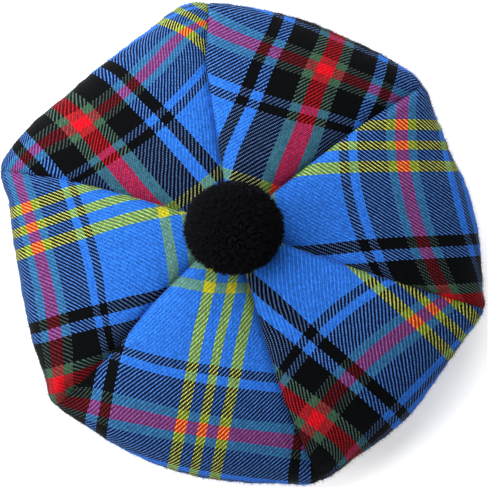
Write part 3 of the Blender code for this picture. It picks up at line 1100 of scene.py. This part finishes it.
def make_heart(material):
    """Dense middle of the pompom, under the yarn ends."""
    mesh = bmesh.new()
    bmesh.ops.create_icosphere(mesh, subdivisions=HEART_SUBDIVISIONS, radius=1.0)
    ways = unit(np.array([vert.co for vert in mesh.verts]))
    places = pompom_surface(ways, HEART_SHARE) + apex()
    for vert, place in zip(mesh.verts, places):
        vert.co = place
    add_object("pompom_heart", mesh, material, ["pompom"])


def make_pompom(settings, material):
    """Ball of cut yarn: a dense heart, yarn ends drawn together in tufts, and finer stray fibres."""
    chance = np.random.default_rng(POMPOM_SEED)
    make_heart(material)
    shift = apex()

    tufts = spread_ways(settings.tufts, chance, TUFT_JITTER)
    tuft_reach = chance.uniform(*TUFT_REACH, settings.tufts)
    ways = spread_ways(settings.yarn_ends, chance, YARN_JITTER)
    nearest = np.argmax(ways @ tufts.T, axis=1)
    gather = chance.uniform(*YARN_GATHER, (len(ways), 1))
    scatter = chance.normal(0.0, YARN_SCATTER, ways.shape)
    lean = unit(ways * (1.0 - gather) + tufts[nearest] * gather + scatter)
    roots = pompom_surface(ways, YARN_ROOT) + shift
    reach = tuft_reach[nearest] + chance.uniform(*YARN_TIP, len(ways))
    tips = pompom_surface(lean, reach) + shift
    radius = chance.uniform(*YARN_RADIUS, len(ways))
    strands = (roots, tips, radius, random_bend(ways, YARN_BEND, chance))
    add_strands("pompom_yarn", strands, YARN_SIDES, YARN_PROFILE, material, "pompom")

    ways = spread_ways(settings.stray_fibres, chance, FIBRE_JITTER)
    lean = unit(ways + chance.normal(0.0, FIBRE_SCATTER, ways.shape))
    roots = pompom_surface(ways, FIBRE_ROOT) + shift
    tips = pompom_surface(lean, chance.uniform(*FIBRE_REACH, len(ways))) + shift
    radius = np.full(len(ways), FIBRE_RADIUS)
    strands = (roots, tips, radius, random_bend(ways, FIBRE_BEND, chance))
    add_strands("pompom_fibres", strands, FIBRE_SIDES, YARN_PROFILE, material, "pompom")


# -------- stage

# The camera takes in the photo's width, in pixels, at the height of the cap's outline.
PHOTO_WIDTH = 488
PIXEL_SIZE = 0.00058
OUTLINE_HEIGHT = 0.034
CAMERA_LENS = 1000.0
CAMERA_SENSOR = 36.0
CAMERA_OFFSET = 0.0008
CAMERA_CLIP = (0.1, 50.0)

LIGHT_TARGET = (0.0, 0.0, 0.03)
KEY_PLACE = (-0.92, 1.72, 1.80)
KEY_SIZE = 4.2
SIDE_PLACE = (-2.13, -0.40, 1.55)
SIDE_SIZE = 1.6
PAINTED_FLOOR_GLOW = 0.45

FLOOR_HALF_WIDTH = 6.0
PAPER_SCALE = 900.0
PAPER_DARK = (0.74, 0.74, 0.74)
PAPER_LIGHT = (0.78, 0.78, 0.78)


def add_light(name, place, size, power):
    """Round soft light that faces the cap."""
    data = bpy.data.lights.new(name, "AREA")
    data.shape = "DISK"
    data.size = size
    data.energy = power
    light = add_to_scene(name, data)
    light.location = place
    way = Vector(LIGHT_TARGET) - Vector(place)
    light.rotation_mode = "QUATERNION"
    light.rotation_quaternion = way.to_track_quat("-Z", "Y")


def make_stage(settings):
    """Pale floor, two soft studio lights on the left, and a camera straight above."""
    mesh = bmesh.new()
    bmesh.ops.create_grid(mesh, x_segments=1, y_segments=1, size=FLOOR_HALF_WIDTH)
    data = bpy.data.meshes.new("floor")
    mesh.to_mesh(data)
    mesh.free()
    data.materials.append(floor_material())
    floor = add_to_scene("floor", data)

    world = bpy.data.worlds.new("studio")
    world.use_nodes = True
    background = world.node_tree.nodes["Background"]
    background.inputs["Color"].default_value = (1.0, 1.0, 1.0, 1.0)
    background.inputs["Strength"].default_value = settings.ambient
    bpy.context.scene.world = world
    add_light("key", KEY_PLACE, KEY_SIZE, settings.key_power)
    add_light("side", SIDE_PLACE, SIDE_SIZE, settings.side_power)

    distance = PHOTO_WIDTH * PIXEL_SIZE * CAMERA_LENS / CAMERA_SENSOR
    data = bpy.data.cameras.new("camera")
    data.lens = CAMERA_LENS
    data.sensor_width = CAMERA_SENSOR
    data.clip_start, data.clip_end = CAMERA_CLIP
    camera = add_to_scene("camera", data)
    camera.location = (CAMERA_OFFSET, 0.0, distance + OUTLINE_HEIGHT)
    bpy.context.scene.camera = camera
    bpy.context.scene.view_settings.view_transform = "Standard"
    bpy.context.scene.view_settings.look = "None"


# -------- add-on


def whole_number(name, description, default, low):
    return bpy.props.IntProperty(name=name, description=description, default=default, min=low)


def strength(name, description, default, subtype="NONE"):
    return bpy.props.FloatProperty(
        name=name, description=description, default=default, min=0.0, subtype=subtype
    )


class CrownSettings(bpy.types.PropertyGroup):
    rows_over: whole_number("Rows over the top", "Mesh rows from apex to rim", 150, 20)
    rows_under: whole_number("Rows underneath", "Mesh rows from rim to headband", 60, 10)
    columns: whole_number("Columns", "Mesh columns from seam to seam", 96, 12)
    nap_fibres: whole_number("Nap fibres", "Fibres that stand up along each gore's rim", 2800, 1)


class HeadbandSettings(bpy.types.PropertyGroup):
    segments: whole_number("Segments", "Mesh segments round the headband", 240, 24)
    rows: whole_number("Rows", "Mesh rows up each ply", 12, 1)
    fold_rows: whole_number("Fold rows", "Mesh rows round the lower fold", 8, 2)


class PompomSettings(bpy.types.PropertyGroup):
    tufts: whole_number("Tufts", "Tufts that the yarn ends draw together in", 760, 10)
    yarn_ends: whole_number("Yarn ends", "Cut ends of yarn on the ball", 8000, 100)
    stray_fibres: whole_number("Stray fibres", "Fine fibres that stand proud", 5000, 0)


class StageSettings(bpy.types.PropertyGroup):
    ambient: strength("Ambient", "Strength of the even studio light", 0.38)
    key_power: strength("Key", "Power of the key light", 182.0, "POWER")
    side_power: strength("Side", "Power of the side light", 66.0, "POWER")


class CAP_OT_gores(bpy.types.Operator):
    """Make the six gores of the crown"""

    bl_idname = "cap.make_gores"
    bl_label = "Make gores"

    def execute(self, context):
        material = tartan_material()
        for gore in range(len(GORES)):
            make_gore(gore, context.scene.cap_crown, material)
        return {"FINISHED"}


class CAP_OT_headband(bpy.types.Operator):
    """Make the headband"""

    bl_idname = "cap.make_headband"
    bl_label = "Make headband"

    def execute(self, context):
        make_headband(context.scene.cap_headband, headband_material())
        return {"FINISHED"}


class CAP_OT_pompom(bpy.types.Operator):
    """Make the pompom"""

    bl_idname = "cap.make_pompom"
    bl_label = "Make pompom"

    def execute(self, context):
        middle = pompom_middle() + apex()
        make_pompom(context.scene.cap_pompom, pompom_material(middle))
        return {"FINISHED"}


class CAP_OT_stage(bpy.types.Operator):
    """Make the floor, the lights and the camera"""

    bl_idname = "cap.make_stage"
    bl_label = "Make stage"

    def execute(self, context):
        make_stage(context.scene.cap_stage)
        return {"FINISHED"}


class CAP_PT_panel(bpy.types.Panel):
    """Settings and buttons of the cap"""

    bl_label = "Tam o' shanter"
    bl_idname = "CAP_PT_panel"
    bl_space_type = "VIEW_3D"
    bl_region_type = "UI"
    bl_category = "Cap"

    def draw(self, context):
        for group, _, operator in PARTS:
            box = self.layout.box()
            settings = getattr(context.scene, group)
            for name in settings.bl_rna.properties.keys():
                if name not in ("rna_type", "name"):
                    box.prop(settings, name)
            box.operator(operator)


# Scene property, its settings, and the operator that makes the piece from them.
PARTS = (
    ("cap_crown", CrownSettings, "cap.make_gores"),
    ("cap_headband", HeadbandSettings, "cap.make_headband"),
    ("cap_pompom", PompomSettings, "cap.make_pompom"),
    ("cap_stage", StageSettings, "cap.make_stage"),
)
CLASSES = (
    *(settings for _, settings, _ in PARTS),
    CAP_OT_gores,
    CAP_OT_headband,
    CAP_OT_pompom,
    CAP_OT_stage,
    CAP_PT_panel,
)


def register():
    for kind in CLASSES:
        bpy.utils.register_class(kind)
    for name, settings, _ in PARTS:
        setattr(bpy.types.Scene, name, bpy.props.PointerProperty(type=settings))


def unregister():
    for name, _, _ in PARTS:
        delattr(bpy.types.Scene, name)
    for kind in reversed(CLASSES):
        bpy.utils.unregister_class(kind)


def main():
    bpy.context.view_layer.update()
    register()
    bpy.ops.cap.make_gores()
    bpy.ops.cap.make_headband()
    bpy.ops.cap.make_pompom()
    bpy.ops.cap.make_stage()


if __name__ == "__main__":
    main()
